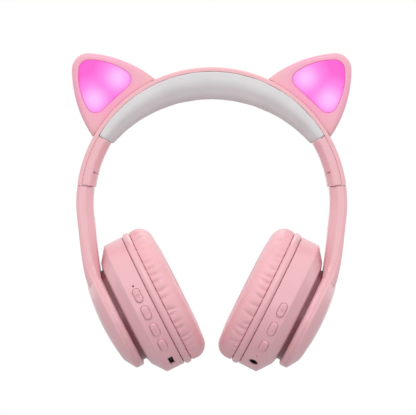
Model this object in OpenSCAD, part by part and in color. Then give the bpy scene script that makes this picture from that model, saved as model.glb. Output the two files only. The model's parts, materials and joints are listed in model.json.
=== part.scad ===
// Foldable wireless headset with light-up cat ears.
// Origin: underside of the headband pad, where it rests on the head. +Z up, -Y is the front, +X the right side.
// Every paired piece is drawn for the right side (+X) and mirrored for the left.

/* [Headband] */
// Outer radius of the headband arch
band_r = 78.3; // [77.8:0.1:78.8]
// Width of the headband shell, front to back
band_w = 26; // [25.4:0.2:27]
// Thickness of the headband shell
band_t = 2.5; // [2.3:0.1:2.7]
// Thickness of the pad at the top of the head
pad_t = 15.8; // [15:0.1:16.5]
// Width of the pad, front to back
pad_w = 27; // [24:0.5:30]
// Angle above horizontal where the pad meets the end cover
pad_angle = 30.7; // [30:0.1:32]

/* [Folding arms] */
// Angle above horizontal of the seam between end cover and arm
seam_angle = 7.8; // [7.6:0.1:8]
// Inner radius of the arm and end cover
arm_inner_r = 68.5; // [68.2:0.1:68.8]
// Width of the arm, front to back
arm_w = 24; // [23:0.5:25]
// Radius of the fold pin
pin_r = 2; // [1.8:0.1:2.1]
// Width of the steel slider strip
slider_w = 10; // [9:0.5:10]
// Length of the slider strip
slider_l = 36; // [30:1:37]

/* [Ears] */
// Direction of the ear above horizontal
ear_angle = 47.2; // [46:0.1:50]
// Distance from the arch centre to the ear tip
ear_tip = 114.6; // [113.5:0.1:115.5]
// Thickness of the ear, front to back
ear_d = 16; // [15:0.5:18]

/* [Ear cups] */
// Lean of the cup axis from vertical
cup_lean = 63.3; // [63:0.1:63.6]
// Sideways place of the cup
cup_x = 34.05; // [33.9:0.05:34.2]
// Height of the cup
cup_z = -116.4; // [-116.6:0.1:-116.2]
// Radius of the cup shell
cup_r = 40.8; // [40.6:0.1:41]
// Wall of the cup shell
cup_wall = 1.8; // [1.6:0.1:2]
// Outer radius of the ear cushion
cushion_r = 40.9; // [39:0.1:41]
// Radius of the cushion's opening
cushion_hole_r = 19; // [17:0.5:21]
// Thickness of the ear cushion
cushion_t = 11.4; // [10:0.1:12]
// Radius of the arm's end disc
disc_r = 31; // [30.6:0.1:31.2]

/* [Controls] */
// Length of a button, along the rim
button_l = 8.6; // [8.4:0.1:9.2]
// Width of a button
button_w = 4.3; // [4:0.1:4.8]
// Height of a button above the shell
button_h = 1.2; // [0.8:0.1:1.4]
// Angles of the left cup's buttons, down from the front
left_buttons = [-9.3, 6, 21.8, 38];
// Angles of the right cup's buttons, down from the front
right_buttons = [2.5, 20, 38];
// Radius of the audio jack's bore
jack_bore_r = 1.8; // [1.78:0.01:1.85]

/* [Hidden] */
$fn = 72;

LEFT = -1;
RIGHT = 1;
PINK = [0.92, 0.72, 0.75];
GREY_SOFT = [0.86, 0.85, 0.86];
STEEL = [0.72, 0.73, 0.75];
BLACK = [0.08, 0.08, 0.09];
BOARD = [0.1, 0.35, 0.2];
GLOW = [1, 0.4, 0.9];

run_gap = 0.05;      // radial clearance of a turning pin
slide_gap = 0.12;    // clearance beside the slider strip
part_gap = 0.15;     // parting line between two shells
big = 200;           // longer than any piece it cuts

// Arch: one centre for the shell, the covers and the ears
under_r = band_r - band_t;
arch_z = pad_t - under_r;
pad_under_r = 76.5;
base_t = 3;
base_w = 20;
base_angle = pad_angle + 2;
spring_t = 0.8;
spring_w = 12;
spring_angle = 17;
wire_r = 0.8;
wire_y = 8.3;
wire_angle = 19;
edge_round = 1.2;

// End cover and fold hinge
bevel_r = 71;
bevel_y = 4;
cover_wall = 1.8;
pin_arch_r = 71.7;
pin_angle = 11;
pin_x = pin_arch_r * cos(pin_angle);
pin_z = arch_z + pin_arch_r * sin(pin_angle);
pin_l = 20;
knuckle_r = 3.6;
knuckle_w = 10.8;
slit_angle = 14.3;
tongue_t = 1.9;
neck_x = [69.2, 73.8];
neck_z = -51.6;
slider_x = 71;
slider_t = 1.5;
slider_top = -48.6;
slider_travel = 20;
seam_gap = 0.45;     // degrees of arch between the cover and the arm
notch_step = 3;
notch_r = 0.7;

// Arm and its end disc
arc_end = -7;
lid_r = 76.9;
disc_front = -20.6;  // cup side of the disc
disc_part = -24.2;   // parting plane of the two disc shells
disc_edge = -26;
disc_back = -32.9;
disc_face_r = 23.8;
disc_face = -30.5;
flare_start = 58;
flare_end = 24;
flare_power = 5.5;
inner_lean = 0.25;   // slope of the arm's inner face where it meets the disc
recess_r = 29;
recess_floor = -23.2;
well_r = 11.2;
well_floor = -28.4;
pivot_u = -24.6;
lug_r = 2.9;

// Cup stack, measured along the cup axis from the shell's front edge
cup_back = -19.2;
collar_r = 28.5;
collar_foot = -20.95;
ring_r = 41.7;
ring_u = [0.15, 5.3];
ring_inner_r = 36;
baffle_u = [1.5, 4.5];
cloth_u = [5, 5.5];
cushion_u = 5.6;
driver_r = 20;
driver_hole_r = 17;
screw_circle = 32.5;
screw_angles = [-48, 88, 168, 238];
button_travel = 0.4;
button_foot = 38;
button_u = [-5.9, -7.7];
board_r = 35;
board_t = 0.6;
usb_angle = 61.4;
usb_u = -5.8;
jack_angle = 62.2;
jack_u = -6.9;
mic_angle = 51.9;
led_angle = -18;

// Ear outline: two side arcs and a round tip
ear_side_r = 69.8;
ear_side_x = 64.4;
ear_side_y = 44.4;
ear_wall = 1.8;
lens_side_r = 37.83;
lens_side_x = 80.83;
lens_side_y = 21.5;
lens_tip = 110.4;
lens_tip_r = 5.72;
lens_corner = [87.7, 10.4];
lens_corner_r = 5.2;
lens_corner_angle = 78;

// ---------- outline functions ----------
function unit(v) = v / norm(v);
function arc(c, r, a0, a1, n) = [for (i = [0:n]) c + r * [cos(a0 + (a1 - a0) * i / n), sin(a0 + (a1 - a0) * i / n)]];
function curve(p0, p1, p2, p3, n) =
    [for (i = [0:n]) let (t = i / n, s = 1 - t) s ^ 3 * p0 + 3 * s ^ 2 * t * p1 + 3 * s * t ^ 2 * p2 + t ^ 3 * p3];
function backwards(pts) = [for (i = [len(pts) - 1:-1:0]) pts[i]];
function half_turn(a) = a > 180 ? a - 360 : a < -180 ? a + 360 : a;
function corner(p0, p1, p2, r, n) =
    let (
        u = unit(p0 - p1),
        v = unit(p2 - p1),
        half = acos(u * v) / 2,
        c = p1 + unit(u + v) * (r / sin(half)),
        s = p1 + u * (r / tan(half)) - c,
        e = p1 + v * (r / tan(half)) - c,
        a0 = atan2(s[1], s[0]),
        turn = half_turn(atan2(e[1], e[0]) - a0)
    )
    arc(c, r, a0, a0 + turn, n);
// A polygon with each corner rounded to its own radius; zero keeps the corner sharp
function rounded(pts, radii, n = 6) =
    [for (i = [0:len(pts) - 1])
        each radii[i] == 0 ? [pts[i]]
            : corner(pts[(i + len(pts) - 1) % len(pts)], pts[i], pts[(i + 1) % len(pts)], radii[i], n)];
// A point of the front view, given along the cup axis (u) and up the face (q)
function cup_point(u, q) =
    [cup_x - u * sin(cup_lean) + q * cos(cup_lean), cup_z + u * cos(cup_lean) + q * sin(cup_lean)];
function arch_point(r, a) = [r * cos(a), arch_z + r * sin(a)];
// Direction of travel down the arch at an angle
function down_arch(a) = [sin(a), -cos(a)];
// Direction of travel down the cup's face, leaning away from it
function down_cup(lean = 0) = unit(lean * [sin(cup_lean), -cos(cup_lean)] - [cos(cup_lean), sin(cup_lean)]);

// ---------- placing ----------
module on_side(side) {
    if (side == LEFT) {
        mirror([1, 0, 0]) children();
    } else {
        children();
    }
}
// A front-view outline, extruded from y0 (front) to y1 (back)
module slab(pts, y0, y1) {
    translate([0, y1, 0]) rotate([90, 0, 0]) linear_extrude(y1 - y0) polygon(pts);
}
// A sector of the arch, from its section: radius first, then width
module arch(section, a0, a1) {
    translate([0, 0, arch_z]) rotate([90, 0, 0]) rotate([0, 0, a0]) rotate_extrude(angle = a1 - a0) polygon(section);
}
module arch_box(r0, r1, w, a0, a1) {
    arch([[r0, -w / 2], [r1, -w / 2], [r1, w / 2], [r0, w / 2]], a0, a1);
}
module across(x, z, r, w) {
    translate([x, 0, z]) rotate([90, 0, 0]) cylinder(r = r, h = w, center = true);
}
module block(x, y, z) {
    translate([x[0], y[0], z[0]]) cube([x[1] - x[0], y[1] - y[0], z[1] - z[0]]);
}
module in_cup(side) {
    on_side(side) translate([cup_x, 0, cup_z]) rotate([0, -cup_lean, 0]) children();
}
// Round the cup axis: +X becomes outward at this angle down from the front, +Z stays the cup axis
module at_rim(angle, u) {
    rotate([0, 0, -90 - angle]) translate([0, 0, u]) children();
}
// A turned piece on the cup axis, from its section: radius first, then place along the axis
module turned(section) {
    rotate_extrude() polygon(section);
}
module in_ear(side) {
    on_side(side) translate([0, 0, arch_z]) rotate([0, -ear_angle, 0]) children();
}
// A pill lying along the rim, from r0 outward to r1
module pill(l, w, r0, r1) {
    translate([r0, 0, 0]) rotate([0, 90, 0]) linear_extrude(r1 - r0) union() {
        square([w, l - w], center = true);
        translate([0, (l - w) / 2]) circle(d = w);
        translate([0, (w - l) / 2]) circle(d = w);
    }
}
module peg(r, r0, r1) {
    translate([r0, 0, 0]) rotate([0, 90, 0]) cylinder(r = r, h = r1 - r0);
}

// ---------- headband ----------
module headband_shell() {
    half = band_w / 2;
    outline = [[under_r, -half], [band_r, -half], [band_r, half], [under_r, half]];
    color(PINK) difference() {
        arch(rounded(outline, [0.3, edge_round, edge_round, 0.3]), seam_angle, 180 - seam_angle);
        for (side = [LEFT, RIGHT]) in_ear(side) peg(2.6, under_r - 1, band_r + 1);
    }
}
module spring_band() {
    color(STEEL) arch_box(under_r - 0.1 - spring_t, under_r - 0.1, spring_w, spring_angle, 180 - spring_angle);
}
module pad_base() {
    color("dimgray") difference() {
        arch_box(under_r - 0.1 - base_t, under_r - 0.1, base_w, base_angle, 180 - base_angle);
        arch_box(under_r - 0.2 - spring_t, under_r + 1, spring_w + 0.4, base_angle - 1, 181 - base_angle);
        arch_box(under_r - 2.6, under_r + 1, 2.4, base_angle - 1, 181 - base_angle);
        translate([0, wire_y, 0])
            arch_box(under_r - 2.5, under_r + 1, 2.4, base_angle - 1, 181 - base_angle);
    }
}
module headband_pad() {
    gap = 0.2;
    below = [[2 * big, -2 * big], [-2 * big, -2 * big]];
    color(GREY_SOFT) difference() {
        across(0, arch_z, under_r - gap, pad_w);
        across(0, -pad_under_r, pad_under_r, big);
        slab(concat([[0, arch_z], arch_point(2 * big, pad_angle + 0.2)], below,
            [arch_point(2 * big, 179.8 - pad_angle)]), -big, big);
        arch_box(under_r - base_t - 0.3, under_r + 1, base_w + 0.4, base_angle - 0.5, 180.5 - base_angle);
        arch_box(under_r - spring_t - 0.4, under_r + 1, spring_w + 0.6, pad_angle - 2, 182 - pad_angle);
        translate([0, wire_y, 0])
            arch_box(under_r - 2.7, under_r + 1, 2.6, pad_angle - 2, 182 - pad_angle);
    }
}
module band_wire() {
    color(BLACK) translate([0, wire_y, arch_z]) rotate([90, 0, 0]) rotate([0, 0, wire_angle])
        rotate_extrude(angle = 180 - 2 * wire_angle) translate([under_r - 1.4, 0]) circle(r = wire_r);
}
module end_cover(side) {
    half = (band_w - 1) / 2;
    top = under_r - 0.1;
    outline = [[arm_inner_r - 0.8, bevel_y - half], [bevel_r, -half], [top, -half], [top, half],
        [bevel_r, half], [arm_inner_r - 0.8, half - bevel_y]];
    color(PINK) on_side(side) difference() {
        arch(rounded(outline, [1, 0.8, 0, 0, 0.8, 1], 4), seam_angle, pad_angle - 0.1);
        // slit across the inner face, above the tongue
        arch_box(arm_inner_r - 2, 70.6, big, slit_angle - 0.3, slit_angle + 0.4);
        // room for the knuckle, up to the slit
        arch_box(arm_inner_r - 2, under_r + 1, knuckle_w + 1, seam_angle - 1, slit_angle);
        // hollow for the band's spring and wire
        arch_box(arm_inner_r + 1, under_r - 3.2, knuckle_w + 8, slit_angle + 3.6, pad_angle - 1.6);
        arch_box(under_r - spring_t - 0.3, under_r + 1, spring_w + 0.4, spring_angle - 0.5, pad_angle + 1);
        translate([0, wire_y, 0]) arch_box(under_r - 2.5, under_r + 1, 2.4, wire_angle - 0.5, pad_angle + 1);
        across(pin_x, pin_z, pin_r + run_gap, pin_l + 0.4);
    }
}
module hinge_pin(side) {
    color(STEEL) on_side(side) across(pin_x, pin_z, pin_r, pin_l);
}
module hinge_block(side) {
    color(PINK) on_side(side) difference() {
        union() {
            across(pin_x, pin_z, knuckle_r, knuckle_w);
            block(neck_x, [-knuckle_w / 2, knuckle_w / 2], [neck_z, pin_z]);
            arch_box(arm_inner_r - 0.7, arm_inner_r - 0.7 + tongue_t, knuckle_w, seam_angle + 0.4, slit_angle - 0.5);
        }
        across(pin_x, pin_z, pin_r + run_gap, big);
        block([slider_x - 0.02, slider_x + slider_t + 0.02], [-slider_w / 2 - 0.02, slider_w / 2 + 0.02],
            [neck_z - 1, slider_top]);
    }
}
module slider(side) {
    low = slider_top - slider_l;
    color(STEEL) on_side(side) difference() {
        block([slider_x, slider_x + slider_t], [-slider_w / 2, slider_w / 2], [low, slider_top]);
        for (i = [1:7])
            translate([slider_x - 1, slider_w / 2, low + i * notch_step]) rotate([0, 90, 0])
                cylinder(r = notch_r, h = 4);
    }
}

// ---------- ears ----------
// Ear outline in (distance from the arch centre, sideways), drawn in by an inset
function ear_half(inset, base) =
    let (
        reach = ear_tip - ear_side_x,
        tip_r = (ear_side_r ^ 2 - ear_side_y ^ 2 - reach ^ 2) / (2 * (ear_side_r - reach)),
        lean = atan2(ear_side_y, reach - tip_r),
        start = asin((base - ear_side_x) / (ear_side_r - inset))
    )
    concat(
        arc([ear_side_x, -ear_side_y], ear_side_r - inset, 90 - start, lean, 14),
        arc([ear_tip - tip_r, 0], tip_r - inset, lean, 0, 8)
    );
function flip(pts) = [for (p = backwards(pts)) [p[0], -p[1]]];
function ear_outline(inset, base) = concat(ear_half(inset, base), flip(ear_half(inset, base)));
function lens_half(grow) =
    let (lean = atan2(lens_side_y, lens_tip - lens_tip_r - lens_side_x))
    concat(
        arc(lens_corner, lens_corner_r + grow, 180, lens_corner_angle + 3, 8),
        arc([lens_side_x, -lens_side_y], lens_side_r + grow, lens_corner_angle, lean, 12),
        arc([lens_tip - lens_tip_r, 0], lens_tip_r + grow, lean, 0, 6)
    );
function lens_outline(grow) = concat(lens_half(grow), flip(lens_half(grow)));
boss_place = [84, 18.3];
module ear_bosses(r, y0, y1) {
    for (s = [-1, 1]) translate([boss_place[0], y1, s * boss_place[1]]) rotate([90, 0, 0])
        cylinder(r = r, h = y1 - y0);
}
module ear_shell(y0, y1, c0, c1) {
    difference() {
        slab(ear_outline(0, 75), y0, y1);
        slab(ear_outline(ear_wall, band_r + 2.8), c0, c1);
        rotate([90, 0, 0]) cylinder(r = band_r + 0.05, h = big, center = true, $fn = 180);
    }
}
module ear_front(side) {
    half = ear_d / 2;
    color(PINK) in_ear(side) difference() {
        union() {
            ear_shell(-half, 0, ear_wall - half, 1);
            ear_bosses(2, ear_wall - half - 0.5, 0);
            peg(2.5, under_r + 0.1, band_r + 3);
        }
        slab(lens_outline(0.15), -half - 1, ear_wall - half + 1);
        ear_bosses(0.9, -4.5, 1);
        // the peg is split level with the shells
        block([under_r - 1, band_r + 2.9], [0, 4], [-4, 4]);
    }
}
module ear_back(side) {
    half = ear_d / 2;
    color(PINK) in_ear(side) difference() {
        union() {
            ear_shell(part_gap, half, 0, half - ear_wall);
            ear_bosses(2.6, 3, half - ear_wall + 0.5);
        }
        ear_bosses(1.1, 0, half + 1);
        ear_bosses(2.3, half - 1.5, half + 1);
    }
}
module ear_lens(side) {
    half = ear_d / 2;
    color(GLOW) in_ear(side) {
        slab(lens_outline(0), -half - 0.6, ear_wall - half + 0.8);
        slab(lens_outline(1), ear_wall - half + 0.05, ear_wall - half + 0.8);
    }
}
module ear_led_boards() {
    color(BOARD) for (side = [LEFT, RIGHT]) in_ear(side) {
        block([88, 95], [-3.2, -2.2], [-12, 12]);
        for (s = [-1, 1]) block([90, 93], [-4.2, -3.1], [s * 9.2 - 1.5, s * 9.2 + 1.5]);
    }
}
module ear_screws() {
    half = ear_d / 2;
    color(STEEL) for (side = [LEFT, RIGHT]) in_ear(side) {
        ear_bosses(0.85, -4, half - 1.6);
        ear_bosses(2, half - 1.5, half - 0.3);
        ear_bosses(1, half - 1.7, half - 1.4);
    }
}

// ---------- arms ----------
function stretch(p0, d0, h0, p3, d3, h3) = curve(p0, p0 + h0 * d0, p3 - h3 * d3, p3, 14);
function arm_outline() =
    let (
        start = seam_angle - seam_gap,
        slope = down_arch(arc_end),
        outer = stretch(arch_point(band_r, arc_end), slope, 13, cup_point(-29.6, 23), down_cup(), 9),
        inner = stretch(arch_point(arm_inner_r, arc_end), slope, 12, cup_point(disc_front, 24), down_cup(inner_lean), 10)
    )
    concat(
        arc([0, arch_z], band_r, start, arc_end + 1, 8), outer,
        backwards(inner), arc([0, arch_z], arm_inner_r, arc_end + 1, start, 8)
    );
// Everything outside the parting surface belongs to the outer shell
function lid_zone(gap) =
    concat(
        arc([0, arch_z], lid_r - gap, seam_angle + 3, arc_end + 1, 10),
        stretch(arch_point(lid_r - gap, arc_end), down_arch(arc_end), 10,
            cup_point(disc_part + gap, disc_r + 0.5), down_cup(), 8),
        [cup_point(disc_part + gap, -disc_r - 4), cup_point(-50, -disc_r - 4), [120, -110], [120, -40]]
    );
// Face view of the arm: a strap that flares into the disc
function flare(x) =
    let (t = (flare_start - x) / (flare_start - flare_end), meet = sqrt(disc_r ^ 2 - flare_end ^ 2))
    arm_w / 2 + (meet - arm_w / 2) * t ^ flare_power;
function face_outline() =
    let (side = [for (i = [0:14]) let (x = flare_start - (flare_start - flare_end) * i / 14) [x, flare(x)]])
    concat([[110, -arm_w / 2], [110, arm_w / 2]], side, [[10, flare(flare_end)], [10, -flare(flare_end)]],
        [for (p = backwards(side)) [p[0], -p[1]]]);
function disc_section() =
    let (dome_r = (disc_face_r ^ 2 + (disc_face - disc_back) ^ 2) / (2 * (disc_face - disc_back)))
    concat(
        [[0, disc_front], [disc_r - 1.8, disc_front], [disc_r - 0.5, disc_front - 0.7], [disc_r, disc_front - 2]],
        [[disc_r, disc_edge], [disc_face_r, disc_face]],
        [for (i = [1:6]) let (x = disc_face_r * (1 - i / 6)) [x, disc_back + dome_r - sqrt(dome_r ^ 2 - x ^ 2)]]
    );
module arm_body() {
    // flared as far out as the disc's rim, a plain strap beyond it
    intersection() {
        slab(arm_outline(), -disc_r, disc_r);
        in_cup(RIGHT) translate([0, 0, disc_edge]) linear_extrude(90) polygon(face_outline());
    }
    intersection() {
        slab(arm_outline(), -arm_w / 2, arm_w / 2);
        in_cup(RIGHT) translate([18, -big / 2, -big / 2]) cube(big);
    }
    in_cup(RIGHT) turned(disc_section());
}
module arm_inner(side) {
    lug = [6.2, 9.2];
    color(PINK) on_side(side) difference() {
        union() {
            difference() {
                arm_body();
                slab(lid_zone(part_gap), -big, big);
                in_cup(RIGHT) translate([0, 0, recess_floor]) cylinder(r = recess_r, h = 20);
                in_cup(RIGHT) translate([0, 0, well_floor]) cylinder(r = well_r, h = 20);
            }
            in_cup(RIGHT) difference() {
                translate([0, 0, well_floor - 1.1]) cylinder(r = well_r + 1.3, h = disc_part - well_floor + 2);
                translate([0, 0, well_floor]) cylinder(r = well_r, h = 20);
            }
            in_cup(RIGHT) for (s = [-1, 1]) intersection() {
                union() {
                    translate([0, s * 7.7, pivot_u]) rotate([90, 0, 0]) cylinder(r = lug_r, h = 3, center = true);
                    block([-lug_r, lug_r], s > 0 ? lug : [-lug[1], -lug[0]], [well_floor - 0.5, pivot_u]);
                }
                translate([0, 0, well_floor - 0.6]) cylinder(r = well_r + 0.5, h = 20);
            }
        }
        in_cup(RIGHT) translate([0, 0, pivot_u]) rotate([90, 0, 0]) cylinder(r = pin_r + run_gap, h = 19, center = true);
        block([slider_x - slide_gap, slider_x + slider_t + slide_gap],
            [-slider_w / 2 - slide_gap, slider_w / 2 + slide_gap], [slider_top - slider_l - 1.5, -40]);
        block([neck_x[0] - 0.5, neck_x[1] + 0.5], [-knuckle_w / 2 - 0.5, knuckle_w / 2 + 0.5], [neck_z - 0.6, -40]);
    }
}
module arm_outer(side) {
    cavity = [[0, disc_part + 2], [27, disc_part + 2], [27, -25.5], [21.5, -29], [0, -30.8]];
    color(PINK) on_side(side) difference() {
        intersection() {
            arm_body();
            slab(lid_zone(0), -big, big);
        }
        in_cup(RIGHT) turned(cavity);
    }
}

// ---------- pivot ----------
module pivot_cross(side) {
    color(STEEL) in_cup(side) translate([0, 0, pivot_u]) {
        cube([9.2, 11.4, 5.2], center = true);
        rotate([90, 0, 0]) cylinder(r = pin_r, h = 18.6, center = true);
        rotate([0, 90, 0]) cylinder(r = pin_r, h = 16, center = true);
    }
}

// ---------- ear cups ----------
module cup_cavity() {
    turned([[0, 5], [cup_r - cup_wall, 5], [cup_r - cup_wall, -10.6], [31.6, -15.9], [25.5, cup_back + cup_wall],
        [0, cup_back + cup_wall]]);
}
module cup_blank() {
    turned(rounded([[0, 0], [cup_r, 0], [cup_r, -11.2], [32.7, -17.2], [26, cup_back], [0, cup_back]],
        [0, 0.4, 1.5, 3, 3, 0]));
}
// Closes the view between cup and disc, and dips into the disc's recess
module cup_collar() {
    inner_r = collar_r - 3;
    turned([[inner_r, cup_back + 1], [collar_r, cup_back + 1], [collar_r, collar_foot], [inner_r, collar_foot]]);
}
module cup_lugs() {
    for (s = [-1, 1]) {
        translate([s * 6.3, 0, pivot_u]) rotate([0, 90, 0]) cylinder(r = lug_r, h = 2.6, center = true);
        block(s > 0 ? [5, 7.6] : [-7.6, -5], [-lug_r, lug_r], [pivot_u, cup_back + 1]);
    }
}
module screw_posts(r, u0, u1) {
    for (a = screw_angles) at_rim(a, u0) translate([screw_circle, 0, 0]) cylinder(r = r, h = u1 - u0);
}
module socket_wall(angle, u, l, w) {
    at_rim(angle, u) intersection() {
        block([35, cup_r], [-l / 2, l / 2], [-w / 2, w / 2]);
        translate([0, 0, -w]) cylinder(r = cup_r - 0.5, h = 2 * w);
    }
}
module cup_shell(side) {
    angles = side == LEFT ? left_buttons : right_buttons;
    u = side == LEFT ? button_u[0] : button_u[1];
    color(PINK) in_cup(side) difference() {
        union() {
            difference() {
                cup_blank();
                cup_cavity();
            }
            cup_lugs();
            cup_collar();
            screw_posts(2.6, -14.9, 1.3);
            if (side == LEFT) socket_wall(usb_angle, usb_u, 11, 5.4);
            if (side == RIGHT) socket_wall(jack_angle, jack_u, 8, 8);
        }
        translate([0, 0, pivot_u]) rotate([0, 90, 0]) cylinder(r = pin_r + run_gap, h = 20, center = true);
        screw_posts(1.15, -8, 2);
        for (a = angles) at_rim(a, u) pill(button_l + 0.4, button_w + 0.4, 36, 44);
        if (side == LEFT) {
            at_rim(usb_angle, usb_u) block([34, 44], [-4.35, 4.35], [-1.5, 1.5]);
            at_rim(led_angle, u) peg(0.6, 36, 44);
        }
        if (side == RIGHT) {
            at_rim(jack_angle, jack_u) peg(2.7, 34, 44);
            at_rim(jack_angle, jack_u) peg(3.3, 34, 39);
            at_rim(mic_angle, jack_u) peg(0.5, 36, 44);
        }
    }
}
module cup_ring(side) {
    color(PINK) in_cup(side)
        turned(rounded([[ring_inner_r, ring_u[0] + 1.2], [38.5, ring_u[0] + 1.2], [38.5, ring_u[0]],
            [ring_r, ring_u[0]], [ring_r, ring_u[1]], [ring_inner_r, ring_u[1] - 0.8]], [0, 0, 0, 2.2, 2.2, 0]));
}
module baffle(side) {
    color("dimgray") in_cup(side) difference() {
        turned([[driver_hole_r, baffle_u[0]], [ring_inner_r - 0.15, baffle_u[0]], [ring_inner_r - 0.15, baffle_u[1]],
            [driver_hole_r, baffle_u[1]]]);
        screw_posts(1.3, 0, 6);
        screw_posts(2.5, 3.2, 6);
    }
}
module driver_basket(side) {
    color("gray") in_cup(side)
        turned([[0, -8], [10, -8], [10, -5.4], [16, -4.6], [driver_r, -0.6], [driver_r, 1.4], [18, 1.4], [18, 0.2],
            [15.5, -3.2], [10, -4], [0, -4]]);
}
module driver_cone(side) {
    color([0.85, 0.82, 0.75]) in_cup(side)
        turned([[0, 1.2], [5, 0.6], [7, -0.4], [12, 0.6], [17.6, 0.5],
            [17.6, 0.8], [12, 0.9], [7, -0.1], [5, 0.9], [0, 1.5]]);
}
module ear_cushion(side) {
    top = cushion_u + cushion_t;
    color(PINK) in_cup(side)
        turned(rounded([[cushion_hole_r, cushion_u], [cushion_r - 1.3, cushion_u], [cushion_r, cushion_u + 2.6],
            [cushion_r, top - 0.9], [cushion_r - 12, top - 0.4], [cushion_hole_r + 7, top], [cushion_hole_r, top]],
            [1, 0.5, 1.5, 7, 0, 0, 5], 8));
}
module speaker_cloth(side) {
    color("lightpink") in_cup(side) translate([0, 0, cloth_u[0]]) cylinder(r = 29.5, h = cloth_u[1] - cloth_u[0]);
}
module cup_screws(side) {
    color(STEEL) in_cup(side) {
        screw_posts(1.1, -6, 3.5);
        screw_posts(2.3, 3.3, 4.5);
    }
}
module control_board(side) {
    angles = side == LEFT ? [-24, 47] : [-7, 55];
    section = [[board_r, -10.4], [board_r + board_t, -10.4], [board_r + board_t, -1.2], [board_r, -1.2]];
    color(BOARD) in_cup(side) rotate([0, 0, -90 - angles[1]]) rotate_extrude(angle = angles[1] - angles[0])
        polygon(section);
}
module switches(side) {
    top = button_foot - button_travel - 0.1;
    color(BLACK) in_cup(side) for (a = side == LEFT ? left_buttons : right_buttons)
        at_rim(a, side == LEFT ? button_u[0] : button_u[1]) {
            block([board_r + board_t + 0.1, top - 0.5], [-2.2, 2.2], [-1.6, 1.6]);
            peg(0.9, top - 0.6, top);
        }
}
module main_board() {
    color(BOARD) in_cup(LEFT) {
        translate([0, 0, -15.6]) cylinder(r = 22, h = 1.2);
        block([-4, 4], [-4, 4], [-14.6, -13.4]);
        block([6, 12], [-9, -4], [-14.6, -13.2]);
    }
}
module battery() {
    color("silver") in_cup(RIGHT) block([-15, 15], [-10, 10], [-16.6, -11.6]);
}
module usb_port() {
    color(BLACK) in_cup(LEFT) at_rim(usb_angle, usb_u) difference() {
        block([34.6, 40], [-3.8, 3.8], [-1.3, 1.3]);
        difference() {
            block([35.4, 41], [-3.5, 3.5], [-1, 1]);
            block([35, 39.4], [-1.9, 1.9], [-0.35, 0.3]);
        }
    }
}
module audio_jack() {
    color(BLACK) in_cup(RIGHT) at_rim(jack_angle, jack_u) difference() {
        union() {
            peg(3.2, 25, 38.8);
            peg(2.6, 38, 40.6);
        }
        peg(jack_bore_r, 26.6, 42);
    }
}
module microphone() {
    color("silver") in_cup(RIGHT) at_rim(mic_angle, jack_u) peg(2, board_r + board_t + 0.1, 38.2);
}
module status_led() {
    color("white") in_cup(LEFT) at_rim(led_angle, button_u[0])
        block([board_r + board_t + 0.1, 37.4], [-0.8, 0.8], [-1, 1]);
}
module button(side, index) {
    angle = side == LEFT ? left_buttons[index] : right_buttons[index];
    color(PINK) in_cup(side) at_rim(angle, side == LEFT ? button_u[0] : button_u[1]) {
        intersection() {
            pill(button_l, button_w, button_foot, cup_r + 4);
            translate([0, 0, -5]) cylinder(r = cup_r + button_h, h = 10, $fn = 180);
        }
        block([button_foot, button_foot + 0.5], [-4, 4], [-2.75, 2.75]);
    }
}

headband_shell();
spring_band();
pad_base();
headband_pad();
band_wire();
end_cover(LEFT);  // end_cover_left
end_cover(RIGHT);  // end_cover_right
hinge_pin(LEFT);  // hinge_pin_left
hinge_pin(RIGHT);  // hinge_pin_right
ear_front(LEFT);  // ear_front_left
ear_front(RIGHT);  // ear_front_right
ear_back(LEFT);  // ear_back_left
ear_back(RIGHT);  // ear_back_right
ear_lens(LEFT);  // ear_lens_left
ear_lens(RIGHT);  // ear_lens_right
ear_led_boards();
ear_screws();
hinge_block(LEFT);  // hinge_block_left
hinge_block(RIGHT);  // hinge_block_right
slider(LEFT);  // slider_left
slider(RIGHT);  // slider_right
arm_inner(LEFT);  // arm_inner_left
arm_inner(RIGHT);  // arm_inner_right
arm_outer(LEFT);  // arm_outer_left
arm_outer(RIGHT);  // arm_outer_right
pivot_cross(LEFT);  // pivot_cross_left
pivot_cross(RIGHT);  // pivot_cross_right
cup_shell(LEFT);  // cup_shell_left
cup_shell(RIGHT);  // cup_shell_right
cup_ring(LEFT);  // cup_ring_left
cup_ring(RIGHT);  // cup_ring_right
baffle(LEFT);  // baffle_left
baffle(RIGHT);  // baffle_right
driver_basket(LEFT);  // driver_basket_left
driver_basket(RIGHT);  // driver_basket_right
driver_cone(LEFT);  // driver_cone_left
driver_cone(RIGHT);  // driver_cone_right
ear_cushion(LEFT);  // ear_cushion_left
ear_cushion(RIGHT);  // ear_cushion_right
speaker_cloth(LEFT);  // speaker_cloth_left
speaker_cloth(RIGHT);  // speaker_cloth_right
cup_screws(LEFT);  // cup_screws_left
cup_screws(RIGHT);  // cup_screws_right
control_board(LEFT);  // control_board_left
control_board(RIGHT);  // control_board_right
switches(LEFT);  // switches_left
switches(RIGHT);  // switches_right
main_board();
battery();
usb_port();
audio_jack();
microphone();
status_led();
button(LEFT, 0);  // button_left_1
button(LEFT, 1);  // button_left_2
button(LEFT, 2);  // button_left_3
button(LEFT, 3);  // button_left_4
button(RIGHT, 0);  // button_right_1
button(RIGHT, 1);  // button_right_2
button(RIGHT, 2);  // button_right_3
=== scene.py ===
import json
import math
import random

import bmesh
import bpy
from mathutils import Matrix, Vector, noise


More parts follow.
